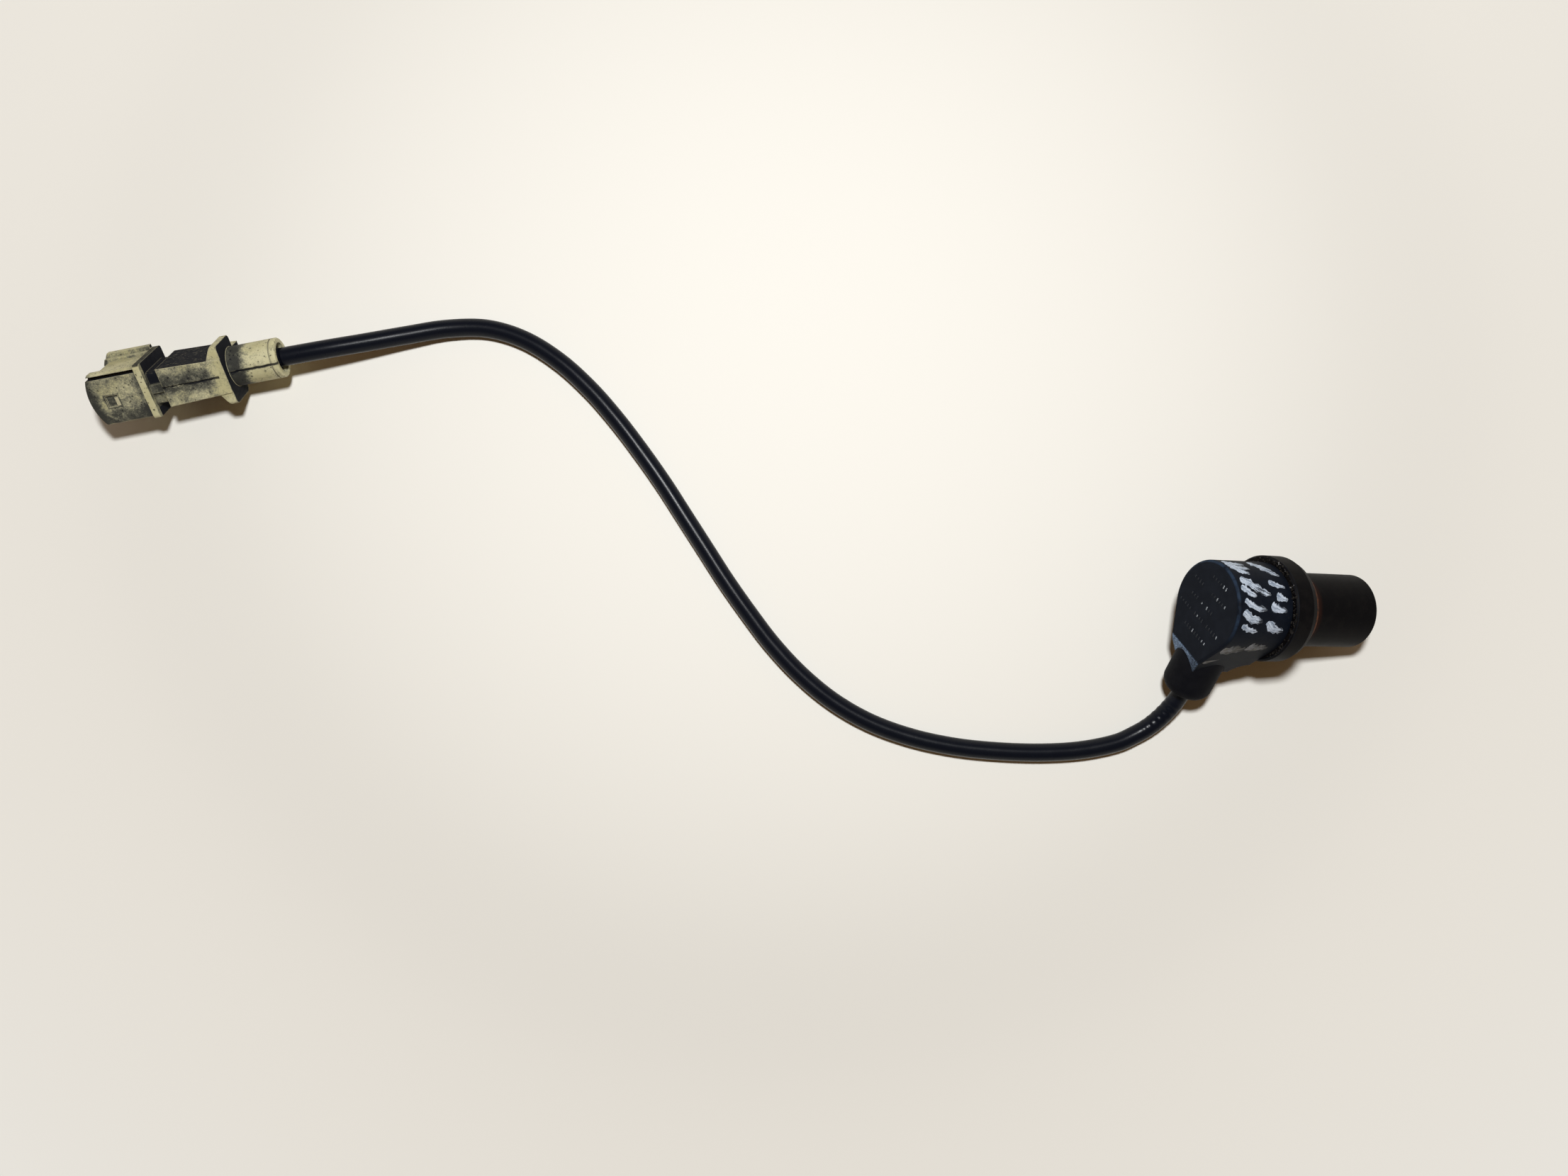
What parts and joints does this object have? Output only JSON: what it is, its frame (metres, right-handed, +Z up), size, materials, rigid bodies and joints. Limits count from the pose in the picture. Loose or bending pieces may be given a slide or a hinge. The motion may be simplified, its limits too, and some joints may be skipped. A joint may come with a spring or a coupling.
{
  "type": "crankshaft position sensor",
  "caption": "Inductive engine speed sensor: round nose with a collar, moulded head with a cable boot at its side, short cable and ivory plug, lying on a table.",
  "frame": {"origin": "on the table, under the middle of the box of the sensor without its cable and plug", "axes": "+X along the table from the head to the nose, +Z up, +Y away from the cable boot"},
  "size_m": [0.3157, 0.1076, 0.0342],
  "materials": {
    "nose_plastic": "satin moulded nylon, brown-black with use",
    "ring_rubber": "dull rubber stained rusty brown",
    "head_plastic": "satin moulded nylon with dirt and paint strokes",
    "boot_rubber": "dull moulded rubber",
    "soft_iron": "turned, tarnished",
    "magnet_metal": "ground",
    "bobbin_plastic": "moulded",
    "copper_wire": "enamelled fine wire",
    "tinned_tag": "tinned",
    "core_white": "extruded insulation",
    "core_grey": "extruded insulation",
    "core_brown": "extruded insulation",
    "cable_jacket": "smooth jacket, slightly glossy",
    "plug_plastic": "aged ivory nylon with grime in its recesses",
    "seal_rubber": "dull rubber",
    "terminal_brass": "tinned, tarnished"
  },
  "bodies": {
    "root": {"nose_sleeve": "nose_plastic", "sealing_ring": "ring_rubber", "head_cap": "head_plastic", "cable_boot": "boot_rubber", "pole_pin": "soft_iron", "magnet": "magnet_metal", "coil_bobbin": "bobbin_plastic", "coil_winding": "copper_wire", "solder_tag_1": "tinned_tag", "solder_tag_2": "tinned_tag", "head_core_1": "core_white", "head_core_2": "core_brown", "cable_tail": "cable_jacket", "cable": "cable_jacket", "plug_housing": "plug_plastic", "cable_seal": "seal_rubber", "plug_cable_end": "cable_jacket", "blade_1": "terminal_brass", "blade_2": "terminal_brass", "blade_3": "terminal_brass", "plug_core_1": "core_brown", "plug_core_2": "core_grey", "plug_core_3": "core_white"}
  },
  "joints": []
}
